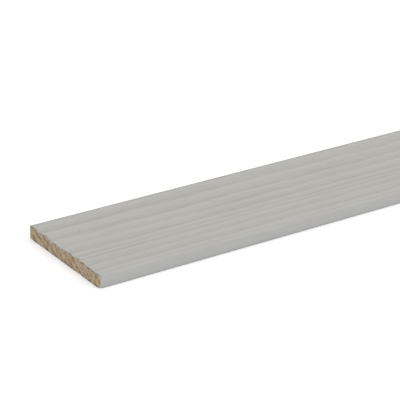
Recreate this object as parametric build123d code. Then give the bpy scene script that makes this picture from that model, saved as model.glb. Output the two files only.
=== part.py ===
from build123d import *

import os

# Flat softwood floor transition strip: one planed, cross-cut and primed length of moulding.
# Millimetres. +X runs along the strip, +Y across it and +Z up out of its show face.
# The origin is the middle of the underside, the face that is glued to the floor.

# Driving dimensions of the stock
STRIP_LENGTH = 900.0  # one doorway length, saw cut to saw cut
STRIP_WIDTH = 45.0  # across the two planed edges
STRIP_THICKNESS = 5.0  # underside to show face
SHOW_ARRIS_RADIUS = 1.0  # eased by the moulder's cutters along both edges of the show face
BACK_ARRIS_RADIUS = 0.5  # lighter easing along both edges of the underside
CUT_ARRIS_RADIUS = 0.3  # sharpness rubbed off all round each saw cut

PARTS_FOLDER = "parts"


def strip_section():
    """The moulder's section, drawn on the left saw cut: X across the strip, Y up from the underside."""
    with BuildSketch(Plane.YZ.offset(-STRIP_LENGTH / 2)) as section:
        Rectangle(STRIP_WIDTH, STRIP_THICKNESS, align=(Align.CENTER, Align.MIN))
        fillet(section.vertices().group_by(Axis.Y)[0], BACK_ARRIS_RADIUS)
        fillet(section.vertices().group_by(Axis.Y)[-1], SHOW_ARRIS_RADIUS)
    return section.sketch


def transition_strip():
    """The section run along +X, from the left saw cut to the right one, with both cuts' edges eased."""
    strip = extrude(strip_section(), amount=STRIP_LENGTH)
    edges_along_x = strip.edges().group_by(Axis.X)
    left_cut, right_cut = edges_along_x[0], edges_along_x[-1]
    return fillet(left_cut + right_cut, CUT_ARRIS_RADIUS)


os.makedirs(PARTS_FOLDER, exist_ok=True)
export_step(transition_strip(), f"{PARTS_FOLDER}/transition_strip.step")
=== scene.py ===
import bisect
import itertools
import math

import bmesh
import bpy
from mathutils import Matrix, Vector, noise


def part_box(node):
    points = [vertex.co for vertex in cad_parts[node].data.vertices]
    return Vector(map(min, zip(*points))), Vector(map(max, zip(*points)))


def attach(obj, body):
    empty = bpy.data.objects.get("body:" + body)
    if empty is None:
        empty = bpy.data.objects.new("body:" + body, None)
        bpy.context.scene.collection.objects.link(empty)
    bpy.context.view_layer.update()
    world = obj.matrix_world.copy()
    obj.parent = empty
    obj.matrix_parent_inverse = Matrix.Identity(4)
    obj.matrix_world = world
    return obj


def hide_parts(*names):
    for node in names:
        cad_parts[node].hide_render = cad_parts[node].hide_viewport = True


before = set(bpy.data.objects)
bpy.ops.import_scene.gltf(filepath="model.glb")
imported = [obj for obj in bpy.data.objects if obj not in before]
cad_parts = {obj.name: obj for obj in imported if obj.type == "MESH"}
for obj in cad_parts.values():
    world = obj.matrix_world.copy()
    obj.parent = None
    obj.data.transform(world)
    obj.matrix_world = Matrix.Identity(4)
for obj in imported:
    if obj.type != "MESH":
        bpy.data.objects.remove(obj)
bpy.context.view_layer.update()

# The strip is one length of slow-grown pine, planed to a flat section on a moulder that also eases its
# four long arrises. It was sawn to length and then primed along its four long faces, so the two saw cuts
# are bare but for a ragged margin of primer round their edges. It is glued down by its underside.
MM = 0.001
SNAP = 0.001 * MM
strip_low, strip_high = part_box("transition_strip")
strip_size = strip_high - strip_low
half_length, half_width = strip_size.x / 2, strip_size.y / 2
SHOW_ARRIS_RADIUS = 1.0 * MM
BACK_ARRIS_RADIUS = 0.5 * MM
CUT_ARRIS_RADIUS = 0.3 * MM
SHOW_ARRIS_STEPS = 8
BACK_ARRIS_STEPS = 5
CUT_ARRIS_STEPS = 3
ROUND = 0.5  # the profile of a bevel that follows an arc
ACROSS, UP = 1, 2  # the axes that the strip is sliced along
COLUMN_COUNT = 108  # of faces across the flat of the show face, fine enough to carry the grain
COURSE_COUNT = 10  # of faces up each edge, between its arrises
CUT_FINENESS = 2  # times as many on the saw cuts, to carry the torn fibres
CUT_TOP_COUNT = 4  # of courses on the saw cuts above that, beside the show arris
ROW_COUNT = 270
ROW_CROWDING = 2.6  # draws the rows of faces towards the saw cuts, where the torn edges need them
straight_half = half_length - CUT_ARRIS_RADIUS


def is_long(edge):
    """Whether an edge runs from one saw cut to the other."""
    return abs(edge.verts[0].co.x - edge.verts[1].co.x) > half_length


def on_saw_cut(face):
    """Whether a face lies on one of the saw cuts."""
    return all(abs(v.co.x) > half_length - SNAP for v in face.verts)


def slice_faces(axis, first, last, count, cuts_only=False):
    """Slices a stretch of the strip, or of its saw cuts alone, evenly by planes across one axis."""
    normal = Vector((0, 0, 0))
    normal[axis] = 1
    for i in range(count + 1):
        faces = [f for f in strip.faces if on_saw_cut(f) or not cuts_only]
        edges = {e for f in faces for e in f.edges}
        verts = {v for f in faces for v in f.verts}
        place = normal * (first + (last - first) * i / count)
        bmesh.ops.bisect_plane(
            strip, geom=[*verts, *edges, *faces], dist=SNAP, plane_co=place, plane_no=normal,
        )


def crowded(along):
    """Draws a place along the strip towards the saw cuts. They are at -1 and 1."""
    return math.tanh(ROW_CROWDING * along) / math.tanh(ROW_CROWDING)


def uncrowded(along):
    """Where a place along the strip was before it was crowded."""
    return math.atanh(along * math.tanh(ROW_CROWDING)) / ROW_CROWDING


strip = bmesh.new()
straight_size = Vector((2 * straight_half, strip_size.y, strip_size.z))
blank = Matrix.LocRotScale((strip_low + strip_high) / 2, None, straight_size)
bmesh.ops.create_cube(strip, size=1.0, matrix=blank)
show_arrises = [e for e in strip.edges if is_long(e) and e.verts[0].co.z > strip_high.z - SNAP]
back_arrises = [e for e in strip.edges if is_long(e) and e.verts[0].co.z < strip_low.z + SNAP]
for arrises, radius, steps in (
    (show_arrises, SHOW_ARRIS_RADIUS, SHOW_ARRIS_STEPS),
    (back_arrises, BACK_ARRIS_RADIUS, BACK_ARRIS_STEPS),
):
    bmesh.ops.bevel(
        strip, geom=arrises, offset=radius, offset_type="OFFSET", segments=steps,
        profile=ROUND, affect="EDGES", material=-1,
    )
for end in [f for f in strip.faces if not any(is_long(e) for e in f.edges)]:
    for step in range(CUT_ARRIS_STEPS):
        before, after = (math.pi / 2 * (step + i) / CUT_ARRIS_STEPS for i in (0, 1))
        bmesh.ops.inset_region(
            strip, faces=[end], use_even_offset=True,
            thickness=CUT_ARRIS_RADIUS * (math.cos(before) - math.cos(after)),
            depth=CUT_ARRIS_RADIUS * (math.sin(after) - math.sin(before)),
        )
reach = half_width - SHOW_ARRIS_RADIUS
bottom, top = BACK_ARRIS_RADIUS, strip_size.z - SHOW_ARRIS_RADIUS
slice_faces(ACROSS, -reach, reach, COLUMN_COUNT)
slice_faces(UP, bottom, top, COURSE_COUNT)
slice_faces(ACROSS, -reach, reach, CUT_FINENESS * COLUMN_COUNT, cuts_only=True)
slice_faces(UP, bottom, top, CUT_FINENESS * COURSE_COUNT, cuts_only=True)
slice_faces(UP, top, strip_size.z - CUT_ARRIS_RADIUS, CUT_TOP_COUNT, cuts_only=True)
long_edges = [e for e in strip.edges if is_long(e)]
bmesh.ops.subdivide_edges(strip, edges=long_edges, cuts=ROW_COUNT - 1, use_grid_fill=True)
for vert in strip.verts:
    if abs(vert.co.x) < straight_half:
        vert.co.x = straight_half * crowded(vert.co.x / straight_half)

# The map that the finish is baked through: a band for each side, with rows as crowded as the faces are.
BAKE_BANDS = {"show": 0.4, "back": 0.22, "near": 0.08, "far": 0.08, "left": 0.095, "right": 0.095}
BAKE_GAP = 0.006
EDGE_SLOPE = 0.55  # most that a face's normal points up or down where it counts as one of an edge
starts = itertools.accumulate((room + BAKE_GAP for room in BAKE_BANDS.values()), initial=0)
band_starts = dict(zip(BAKE_BANDS, starts))


def side_of(face):
    """The side of the strip that a face belongs to. The eased edges of a saw cut count as the cut's."""
    if all(abs(v.co.x) > straight_half - SNAP for v in face.verts):
        return "left" if face.verts[0].co.x < 0 else "right"
    if abs(face.normal.z) > EDGE_SLOPE:
        return "show" if face.normal.z > 0 else "back"
    return "near" if face.normal.y < 0 else "far"


strip.normal_update()
bake_layer = strip.loops.layers.uv.new("OFBake")
for face in strip.faces:
    side = side_of(face)
    for loop in face.loops:
        across = (loop.vert.co.y - strip_low.y) / strip_size.y
        height = (loop.vert.co.z - strip_low.z) / strip_size.z
        if side in ("left", "right"):
            along = across
        else:
            along = (1 + uncrowded(loop.vert.co.x / straight_half)) / 2
        in_band = across if side in ("show", "back") else height
        start, room = band_starts[side], BAKE_BANDS[side]
        loop[bake_layer].uv = (BAKE_GAP + (1 - 2 * BAKE_GAP) * along, start + room * in_band)

# Annual rings: the trunk's centre lay beyond the far edge and well below, so the rings cross the saw
# cuts on a slant and come out on the show face as lengthwise bands, closer towards the near edge.
PITH = Vector((0, 57.5, -105.0)) * MM
FIRST_RING = 110.9 * MM  # from the pith to the first ring that the strip holds
RINGS = (  # year by year: width in mm, and how dark the late wood at its outer edge is
    (2.6, 0.5), (2.7, 0.8), (2.4, 1.0), (2.9, 0.35), (2.5, 0.7), (2.5, 0.75),
    (1.7, 0.1), (1.1, 1.0), (2.3, 0.5), (2.9, 0.8), (2.5, 0.4),
)
RING_WANDER = 0.3 * MM
RING_WANDER_LENGTH = 220 * MM
RING_WANDER_WIDTH = 9 * MM
GRAIN_RELIEF = 0.08 * MM  # late wood stands proud of early wood by this, on the show face and the back
LATE_PEAK = 0.86  # of a ring's growth, where its late wood is densest, just before the next year's ring
ring_widths = (width for width, _ in RINGS)
ring_starts = [FIRST_RING + MM * grown for grown in itertools.accumulate(ring_widths, initial=0)]


def ring_at(place):
    """The ring that a place in the wood is in, counted from 1, and the part of it grown by then."""
    drift = Vector((place.x / RING_WANDER_LENGTH, place.y / RING_WANDER_WIDTH, 0))
    out = math.hypot(place.y - PITH.y, place.z - PITH.z) + RING_WANDER * noise.noise(drift)
    ring = min(max(bisect.bisect(ring_starts, out), 1), len(RINGS))
    return ring, (out - ring_starts[ring - 1]) / (MM * RINGS[ring - 1][0])


def lateness(grown):
    """How dense the wood is: it hardens slowly through a ring, and the next ring starts soft again."""
    return min(max(grown, 0) / LATE_PEAK, max(1 - grown, 0) / (1 - LATE_PEAK))


def arris_radius(place):
    """The radius of the long arrises on a place's half of the strip, upper or lower."""
    return SHOW_ARRIS_RADIUS if place.z > strip_size.z / 2 else BACK_ARRIS_RADIUS


def depth_inside(place):
    """How far inside the section's outline a place is."""
    radius = arris_radius(place)
    beyond_y = abs(place.y) - (half_width - radius)
    beyond_z = max(place.z - (strip_size.z - SHOW_ARRIS_RADIUS), BACK_ARRIS_RADIUS - place.z)
    if beyond_y > 0 and beyond_z > 0:
        return radius - math.hypot(beyond_y, beyond_z)
    return radius - max(beyond_y, beyond_z)


def outward(place):
    """The way out of the section at a place on its outline, square to the planed faces."""
    radius = arris_radius(place)
    inner_y = min(max(place.y, radius - half_width), half_width - radius)
    inner_z = min(max(place.z, BACK_ARRIS_RADIUS), strip_size.z - SHOW_ARRIS_RADIUS)
    return Vector((0, place.y - inner_y, place.z - inner_z)).normalized()


# Saw cuts: the blade left them rough, with the soft early wood torn deeper than the late wood, and chipped
# the show edge. Between the chips the primer hangs over that edge, by up to 0.8 mm. The near lower corner
# of the left cut was blunted later, by a knock.
SAW_ROUGHNESS = 0.14 * MM
TEAR_SIZE = 0.8 * MM
LATE_HOLD = 0.4  # of the roughness, by which late wood is torn less
SHOW_OVERHANG = (  # along the show edge: mm from the far edge, and mm of primer hanging over the cut
    (0, 0.1), (3, -0.3), (6.5, 0.6), (9, 0.1), (10.8, -0.5), (12.3, 0.8), (15, 0.8), (16.8, 0.3),
    (20.3, 0.8), (23, 0.1), (25, 0.3), (27, -0.3), (28.5, 0.1), (31, -0.35), (37.5, 0.25), (45, 0.15),
)
BACK_OVERHANG = 0.1  # along the lower edge, in mm
FAR_OVERHANG = 0.5  # along the far upright edge, in mm
NEAR_OVERHANG = -0.4  # along the near upright edge, where it is rubbed back, in mm
OVERHANG_SPREAD = 0.2  # most that it varies from these, in mm
OVERHANG_STEP = 2.2 * MM
CUTS_APART = 50  # steps of noise either way, so that the two cuts vary in their own ways
CORNER_BLEND = 0.2 * MM
CORNER_POWER = 3  # how soon an edge's overhang gives way to the next one's
FULL_CHIP = 0.5  # at which a chip is as deep as it gets, in mm of primer torn back
CHIP_DEPTH = 0.35 * MM
CHIP_SIZE = 1.0 * MM
MOST_MARGIN = 3.0  # beyond this far from the primer's margin, in mm, all is primer
KNOCK_DEPTH = 0.55 * MM
KNOCK_REACH = 2.0 * MM
KNOCK_WAY = Vector((1, 1, 1)).normalized()


def overhang(place):
    """How many mm of primer hang over the edge of a saw cut nearest to a place. Below 0 the edge is torn."""
    from_far = (half_width - place.y) / MM
    i = min(max(bisect.bisect(SHOW_OVERHANG, (from_far,)), 1), len(SHOW_OVERHANG) - 1)
    (start, low), (stop, high) = SHOW_OVERHANG[i - 1:i + 1]
    edges = (
        (strip_size.z - place.z, low + (high - low) * (from_far - start) / (stop - start)),
        (place.z, BACK_OVERHANG),
        (half_width - place.y, FAR_OVERHANG),
        (half_width + place.y, NEAR_OVERHANG),
    )
    weights = [1 / (max(distance, 0) + CORNER_BLEND) ** CORNER_POWER for distance, _ in edges]
    mean = sum(w * hang for w, (_, hang) in zip(weights, edges)) / sum(weights)
    spot = Vector((math.copysign(CUTS_APART, place.x), place.y / OVERHANG_STEP, place.z / OVERHANG_STEP))
    return mean + OVERHANG_SPREAD * noise.noise(spot)


turns_layer = strip.verts.layers.float.new("ring_turns")
late_layer = strip.verts.layers.float.new("late_wood")
margin_layer = strip.verts.layers.float.new("primer_margin")
for vert in strip.verts:
    place = vert.co.copy()
    ring, grown = ring_at(place)
    vert[turns_layer] = ring + grown
    vert[late_layer] = RINGS[ring - 1][1]
    ridge = lateness(grown)
    depth = max(depth_inside(place), 0)
    from_cut = half_length - abs(place.x)
    out = outward(place)
    if from_cut > SNAP:
        on_outline = max(0, 1 - depth / CUT_ARRIS_RADIUS)
        vert.co -= out * GRAIN_RELIEF * (1 - ridge) * abs(out.z) * on_outline
    vert[margin_layer] = MOST_MARGIN
    if from_cut < MOST_MARGIN * MM:
        hang = overhang(place)
        vert[margin_layer] = min(hang + (from_cut - depth) / MM, MOST_MARGIN)
        near_show_edge = max(0, 1 - (strip_size.z - place.z + from_cut) / CHIP_SIZE)
        tearing = min(max(-hang / FULL_CHIP, 0), 1) * near_show_edge
        vert.co -= out * CHIP_DEPTH * tearing
        torn = SAW_ROUGHNESS * ((1 + noise.noise(place / TEAR_SIZE)) / 2 - LATE_HOLD * ridge)
        sunk = max(torn, 0) if from_cut < SNAP else 0
        vert.co.x -= math.copysign(CHIP_DEPTH * tearing + sunk, place.x)
        knock = max(0, 1 - (place - strip_low).length / KNOCK_REACH)
        vert.co += KNOCK_WAY * KNOCK_DEPTH * knock ** 2
for face in strip.faces:
    face.smooth = True

strip_mesh = bpy.data.meshes.new("primed_strip")
strip.to_mesh(strip_mesh)
strip.free()
primed_strip = bpy.data.objects.new("primed_strip", strip_mesh)
bpy.context.scene.collection.objects.link(primed_strip)
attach(primed_strip, "root")
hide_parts("transition_strip")


def linear(hex_colour):
    """An sRGB hex colour as linear red, green, blue and alpha."""
    channels = [int(hex_colour[i:i + 2], 16) / 255 for i in (1, 3, 5)]
    return [c / 12.92 if c <= 0.04045 else ((c + 0.055) / 1.055) ** 2.4 for c in channels] + [1.0]


def add_node(tree, kind, inputs, **settings):
    """Adds a node with its settings. An input takes a value, a socket or another node's first output."""
    node = tree.nodes.new(kind)
    for name, value in settings.items():
        setattr(node, name, value)
    for name, value in inputs.items():
        if isinstance(value, bpy.types.Node):
            value = value.outputs[0]
        if isinstance(value, bpy.types.NodeSocket):
            tree.links.new(value, node.inputs[name])
        else:
            node.inputs[name].default_value = value
    return node


# The strip's one finish is primed pine: primer along its length, bare wood on the saw cuts. Its patterns
# are placed in the strip's own frame, and by what the mesh holds of the rings and the primer's margin.
primed_pine = bpy.data.materials.new("primed_pine")
primed_pine.use_nodes = True
pine_tree = primed_pine.node_tree
pine_tree.nodes.clear()
place = add_node(pine_tree, "ShaderNodeTexCoord", {}).outputs["Object"]
up = add_node(pine_tree, "ShaderNodeSeparateXYZ", {0: place}).outputs["Z"]


def held(name):
    """The values that the mesh holds under a name."""
    return add_node(pine_tree, "ShaderNodeAttribute", {}, attribute_name=name).outputs["Fac"]


def streaks(length, width, detail):
    """Noise drawn out along the strip, in streaks of about that length and width."""
    scale = (1 / length, 1 / width, 1 / width)
    drawn_out = add_node(pine_tree, "ShaderNodeMapping", {"Vector": place, "Scale": scale})
    return add_node(pine_tree, "ShaderNodeTexNoise", {"Vector": drawn_out, "Scale": 1.0, "Detail": detail})


def spots(size, detail):
    """Noise in spots of about that size."""
    return add_node(pine_tree, "ShaderNodeTexNoise", {"Vector": place, "Scale": 1 / size, "Detail": detail})


def maths(operation, *values, **settings):
    """The result of an operation on one, two or three values."""
    return add_node(pine_tree, "ShaderNodeMath", dict(enumerate(values)), operation=operation, **settings)


def varied(pattern, spread, middle):
    """A middle value that noise varies, over a spread."""
    return maths("MULTIPLY_ADD", maths("SUBTRACT", pattern, 0.5), spread, middle)


def ramp(value, start, stop, first=0.0, last=1.0, curve="LINEAR"):
    """Goes from first to last as a value goes from start to stop, and no further."""
    ends = {"Value": value, "From Min": start, "From Max": stop, "To Min": first, "To Max": last}
    return add_node(pine_tree, "ShaderNodeMapRange", ends, interpolation_type=curve)


def mixed(share, first, second):
    """The first colour with a share of the second."""
    return add_node(pine_tree, "ShaderNodeMix", {0: share, 6: first, 7: second}, data_type="RGBA").outputs[2]


# The acrylic primer is sprayed thin and dries matt: a pale grey, faintly mottled, in which the rings show
# on the two faces as soft darker bands and the planed fibres as fine lengthwise lines.
PRIMER_PALE = "#BDBCB6"
PRIMER_DEEP = "#A9A8A2"
BAND_WAVER = 0.35  # of a ring
BAND_WAVER_LENGTH = 14 * MM
BAND_WAVER_WIDTH = 4 * MM
BAND_FADE_LENGTH = 70 * MM
BAND_FADE_WIDTH = 6 * MM
FADE_RANGE = (0.3, 0.7)  # of the noise by which a band goes from faint to strong
FAINT_BAND = 0.4  # share of the deep colour
STRONG_BAND = 0.7
FIBRE_LENGTH = 30 * MM
FIBRE_WIDTH = 0.8 * MM
FIBRE_STRENGTH = 0.6
MOTTLE_LENGTH = 4 * MM
MOTTLE_WIDTH = 1.2 * MM
MOTTLE_STRENGTH = 0.5
PALER = -0.05  # added to the share of the deep colour
wavering = varied(streaks(BAND_WAVER_LENGTH, BAND_WAVER_WIDTH, 1.0), BAND_WAVER, held("ring_turns"))
grown = maths("FRACT", wavering)
band = maths("MINIMUM", ramp(grown, 0.0, LATE_PEAK), ramp(grown, LATE_PEAK, 1.0, 1.0, 0.0))
fading = streaks(BAND_FADE_LENGTH, BAND_FADE_WIDTH, 1.0)
band_strength = ramp(fading, *FADE_RANGE, FAINT_BAND, STRONG_BAND)
normal = add_node(pine_tree, "ShaderNodeNewGeometry", {}).outputs["Normal"]
facing = add_node(pine_tree, "ShaderNodeSeparateXYZ", {0: normal}).outputs
on_face = maths("ABSOLUTE", facing["Z"])
on_edge = maths("ABSOLUTE", facing["Y"])
banded = maths("MULTIPLY_ADD", maths("MULTIPLY", band, on_face), band_strength, PALER)
fibres = streaks(FIBRE_LENGTH, FIBRE_WIDTH, 3.0)
lined = maths("MULTIPLY_ADD", fibres, FIBRE_STRENGTH, banded)
mottled = varied(streaks(MOTTLE_LENGTH, MOTTLE_WIDTH, 1.0), MOTTLE_STRENGTH, lined)
face_primer = mixed(mottled, linear(PRIMER_PALE), linear(PRIMER_DEEP))

# Down the two edges the bands are hidden and painted shade makes the coat darker and cooler, most
# of all at their foot. Two specks of dirt lie on the show face, near the left cut.
# a cool grey that paints shade down the edges
EDGE_SHADE = "#AEAEB0"
EDGE_SHADE_AT_TOP = 0.3  # share of the painted edge shade at the top of an edge
EDGE_SHADE_AT_FOOT = 0.85
FOOT_SHADE_LOW = 0.4 * MM
FOOT_SHADE_HIGH = 0.9 * MM
FOOT_SHADE_STRENGTH = 0.13
# dark grey-brown: the specks' dirt, and the painted shade along the edges' foot
SPECK_AND_SHADE = "#4A4740"
SPECKS = (  # mm from the left cut, mm from the far edge, strength and mm across
    (11.0, 13.4, 0.3, 1.4), (8.9, 13.0, 0.25, 1.0),
)
# painted shade: the edges darker and cooler towards their foot, which also dims their arrises
edge_shading = ramp(up, 0.0, strip_size.z, EDGE_SHADE_AT_FOOT, EDGE_SHADE_AT_TOP)
edge_shaded_primer = mixed(maths("MULTIPLY", edge_shading, on_edge), face_primer, linear(EDGE_SHADE))
# painted shade: a thin dark line along the foot of each edge, where it meets the floor
foot_shade = ramp(up, FOOT_SHADE_LOW, FOOT_SHADE_HIGH, FOOT_SHADE_STRENGTH, 0.0)
primer = mixed(maths("MULTIPLY", foot_shade, on_edge), edge_shaded_primer, linear(SPECK_AND_SHADE))
for from_cut, from_far, strength, breadth in SPECKS:
    middle = (strip_low.x + from_cut * MM, strip_high.y - from_far * MM, strip_high.z)
    apart = add_node(pine_tree, "ShaderNodeVectorMath", {0: place, 1: middle}, operation="DISTANCE")
    mark = ramp(apart.outputs["Value"], 0.0, breadth / 2 * MM, strength, 0.0)
    primer = mixed(mark, primer, linear(SPECK_AND_SHADE))

# Bare end grain on the saw cuts: tan early wood with a darker line of late wood in each ring, dull,
# blotchy and rough from the saw.
EARLY_WOOD = "#BFAD8F"
LATE_WOOD = "#7F6846"
LATE_LINE_START = 0.5  # of the way to a ring's densest wood
LATE_LINE_STRENGTH = 0.8
FUZZ_SIZE = 0.5 * MM
FUZZ_STRENGTH = 1.2
BLOTCH_SIZE = 1.4 * MM
BLOTCH_STRENGTH = 1.9
LIGHTER = 1.35  # taken off the sum of these, most of which is the noises' own middle
late_line = ramp(band, LATE_LINE_START, 1.0, 0.0, LATE_LINE_STRENGTH, "SMOOTHSTEP")
hardened = maths("MULTIPLY", late_line, held("late_wood"))
fuzz = spots(FUZZ_SIZE, 3.0)
blotches = spots(BLOTCH_SIZE, 2.0)
fuzzed = maths("MULTIPLY_ADD", fuzz, FUZZ_STRENGTH, hardened)
blotched = maths("MULTIPLY_ADD", blotches, BLOTCH_STRENGTH, fuzzed)
darkness = maths("SUBTRACT", blotched, LIGHTER, use_clamp=True)
wood = mixed(darkness, linear(EARLY_WOOD), linear(LATE_WOOD))

# The primer's margin on the cuts: brittle and ragged, thinning out over a fraction of a millimetre, with a
# painted highlight just inside its broken edge. Below the show edge a thin smear of it reaches further down.
# pale colour of the painted highlight on the margin's broken edge
FLAKE_HIGHLIGHT = "#D8D6CE"
FLAKE_HIGHLIGHT_STRENGTH = 0.5
RAGGED_SIZE = 0.8 * MM
RAGGED_REACH = 2.4  # of the teeth, in mm
MARGIN_FADE = 0.25  # half of the width over which the primer thins out, in mm
SMEAR_REACH = 1.6  # from the margin, in mm
SMEAR_STRENGTH = 0.3
ragged = varied(spots(RAGGED_SIZE, 2.0), RAGGED_REACH, held("primer_margin"))
bare = ramp(ragged, -MARGIN_FADE, MARGIN_FADE, 1.0, 0.0, "SMOOTHSTEP")
# painted highlight: paler just inside the margin's broken edge, where lifted flakes catch the light
flake_highlight = ramp(ragged, MARGIN_FADE, 2 * MARGIN_FADE, FLAKE_HIGHLIGHT_STRENGTH, 0.0)
below_show_edge = ramp(up, strip_size.z / 2, strip_size.z - SHOW_ARRIS_RADIUS)
smear = ramp(ragged, -SMEAR_REACH, -MARGIN_FADE, 0.0, SMEAR_STRENGTH)
smeared_wood = mixed(maths("MULTIPLY", smear, below_show_edge), wood, primer)
clean = mixed(bare, mixed(flake_highlight, primer, linear(FLAKE_HIGHLIGHT)), smeared_wood)

# Painted shade darkens the cuts in patches: along their lower edges, where they meet the floor, and under
# the primer's margin where it hangs over from the show face.
# dark brown of the painted shade on the cuts
CUT_SHADE = "#3E3629"
CONTACT_SHADE_LOW = 0.3 * MM
CONTACT_SHADE_HIGH = 0.7 * MM
MARGIN_SHADE = (-0.8, -0.1)  # mm from the margin, where the painted shade begins and where it is deepest
MARGIN_SHADE_STRENGTH = 0.5
PATCH_RANGE = (0.42, 0.6)  # of the blotches, from the least shaded places to the most shaded
LEAST_SHADE = 0.25
# painted shade: the cuts darker along their lower edges, where they meet the floor
contact_shade = ramp(up, CONTACT_SHADE_LOW, CONTACT_SHADE_HIGH, 1.0, 0.0)
# painted shade under the primer's overhanging margin
margin_shade = ramp(ragged, *MARGIN_SHADE, 0.0, MARGIN_SHADE_STRENGTH)
painted_cut_shade = maths("MAXIMUM", contact_shade, maths("MULTIPLY", margin_shade, below_show_edge))
patchy_cut_shade = maths("MULTIPLY", painted_cut_shade, ramp(blotches, *PATCH_RANGE, LEAST_SHADE))
on_cut = ramp(ragged, 0.0, 2 * MARGIN_FADE, 1.0, 0.0)
colour = mixed(maths("MULTIPLY", patchy_cut_shade, on_cut), clean, linear(CUT_SHADE))

# To the touch the primer is a smooth film with the fibres and a fine stipple in it, and the cuts are fuzzy.
PRIMER_FILM = 0.05  # thickness, in mm
PRIMER_GRAIN = 0.02  # height of the stipple in the primer, in mm
FIBRE_HEIGHT = 0.6  # of the stipple's
STIPPLE_SIZE = 0.5 * MM
WOOD_GRAIN = 0.1  # height of the fuzz on the cuts, in mm
PRIMER_ROUGHNESS = (0.5, 0.62)
WOOD_ROUGHNESS = 0.9
FINISH_IOR = 1.48
primer_sheen = ramp(fibres, 0.0, 1.0, *PRIMER_ROUGHNESS)
roughness = add_node(pine_tree, "ShaderNodeMix", {0: bare, 2: primer_sheen, 3: WOOD_ROUGHNESS})
stippled = maths("MULTIPLY_ADD", fibres, FIBRE_HEIGHT, spots(STIPPLE_SIZE, 2.0))
film = maths("MULTIPLY_ADD", stippled, PRIMER_GRAIN, PRIMER_FILM)
torn_wood = maths("MULTIPLY", fuzz, WOOD_GRAIN)
height = add_node(pine_tree, "ShaderNodeMix", {0: bare, 2: film, 3: torn_wood})
grain = add_node(pine_tree, "ShaderNodeBump", {"Height": height, "Distance": MM, "Strength": 1.0})
finish = add_node(
    pine_tree, "ShaderNodeBsdfPrincipled",
    {"Base Color": colour, "Roughness": roughness, "Normal": grain, "IOR": FINISH_IOR},
)
add_node(pine_tree, "ShaderNodeOutputMaterial", {"Surface": finish})
strip_mesh.materials.append(primed_pine)

# The floor is a wide, plain pale sheet of matt paint, seen as white, that keeps the strip's soft shadow.
# Light falls on it as on the strip, and a little is added for the eye alone.
FLOOR_SIZE = 12.0
FLOOR_COLOUR = "#F2F2F2"
FLOOR_ROUGHNESS = 0.9
FLOOR_LIFT = 0.3
WHITE = (1, 1, 1, 1)


def for_the_eye(tree):
    """Gives 1 to rays that end in the camera, straight or by way of gloss or glass, and 0 to light."""
    path = add_node(tree, "ShaderNodeLightPath", {}).outputs
    straight, glossy, clear = path["Is Camera Ray"], path["Is Glossy Ray"], path["Is Transmission Ray"]
    reflected = add_node(tree, "ShaderNodeMath", {0: straight, 1: glossy}, operation="MAXIMUM")
    return add_node(tree, "ShaderNodeMath", {0: reflected, 1: clear}, operation="MAXIMUM")


floor_shape = bmesh.new()
bmesh.ops.create_grid(floor_shape, x_segments=1, y_segments=1, size=FLOOR_SIZE / 2)
floor_mesh = bpy.data.meshes.new("floor")
floor_shape.to_mesh(floor_mesh)
floor_shape.free()
floor = bpy.data.objects.new("floor", floor_mesh)
bpy.context.scene.collection.objects.link(floor)
floor_paint = bpy.data.materials.new("matt_floor_paint")
floor_paint.use_nodes = True
floor_tree = floor_paint.node_tree
floor_tree.nodes.clear()
lift = add_node(
    floor_tree, "ShaderNodeMath", {0: for_the_eye(floor_tree), 1: FLOOR_LIFT}, operation="MULTIPLY",
)
floor_finish = add_node(
    floor_tree, "ShaderNodeBsdfPrincipled",
    {"Base Color": linear(FLOOR_COLOUR), "Roughness": FLOOR_ROUGHNESS, "Specular IOR Level": 0.0,
     "Emission Color": WHITE, "Emission Strength": lift},
)
add_node(floor_tree, "ShaderNodeOutputMaterial", {"Surface": floor_finish})
floor_mesh.materials.append(floor_paint)

# The studio: an even white surround and one large, weak softbox, high on the near side.
SURROUND_LIGHT = 0.83  # of what the eye sees of it
SOFTBOX_PLACE = Vector((0.3, -1.7, 1.5))
SOFTBOX_SIZE = 1.6
SOFTBOX_WATTS = 11.5
world = bpy.data.worlds.new("studio")
world.use_nodes = True
world_tree = world.node_tree
world_tree.nodes.clear()
glow = add_node(
    world_tree, "ShaderNodeMapRange", {"Value": for_the_eye(world_tree), "To Min": SURROUND_LIGHT},
)
surround = add_node(world_tree, "ShaderNodeBackground", {"Color": WHITE, "Strength": glow})
add_node(world_tree, "ShaderNodeOutputWorld", {"Surface": surround})
bpy.context.scene.world = world
softbox_data = bpy.data.lights.new("softbox", "AREA")
softbox_data.shape = "SQUARE"
softbox_data.size = SOFTBOX_SIZE
softbox_data.energy = SOFTBOX_WATTS
softbox = bpy.data.objects.new("softbox", softbox_data)
softbox.location = SOFTBOX_PLACE
softbox.rotation_euler = (-SOFTBOX_PLACE).to_track_quat("-Z", "Y").to_euler()
bpy.context.scene.collection.objects.link(softbox)

# The camera stands left of the near edge and looks down along the strip, level, with a long lens.
CAMERA_FROM_CORNER = Vector((-238.1, -415.3, 237.9)) * MM  # from the near lower corner of the left cut
CAMERA_DOWN = math.radians(23.51)
CAMERA_TURN = math.radians(33.52)
CAMERA_LENS = 155.88  # in mm, for the sensor's width
SENSOR_WIDTH = 36.0
camera_data = bpy.data.cameras.new("camera")
camera_data.lens = CAMERA_LENS
camera_data.sensor_width = SENSOR_WIDTH
camera = bpy.data.objects.new("camera", camera_data)
camera.location = strip_low + CAMERA_FROM_CORNER
camera.rotation_euler = (math.pi / 2 - CAMERA_DOWN, 0, -CAMERA_TURN)
bpy.context.scene.collection.objects.link(camera)
bpy.context.scene.camera = camera
bpy.context.scene.view_settings.view_transform = "Standard"
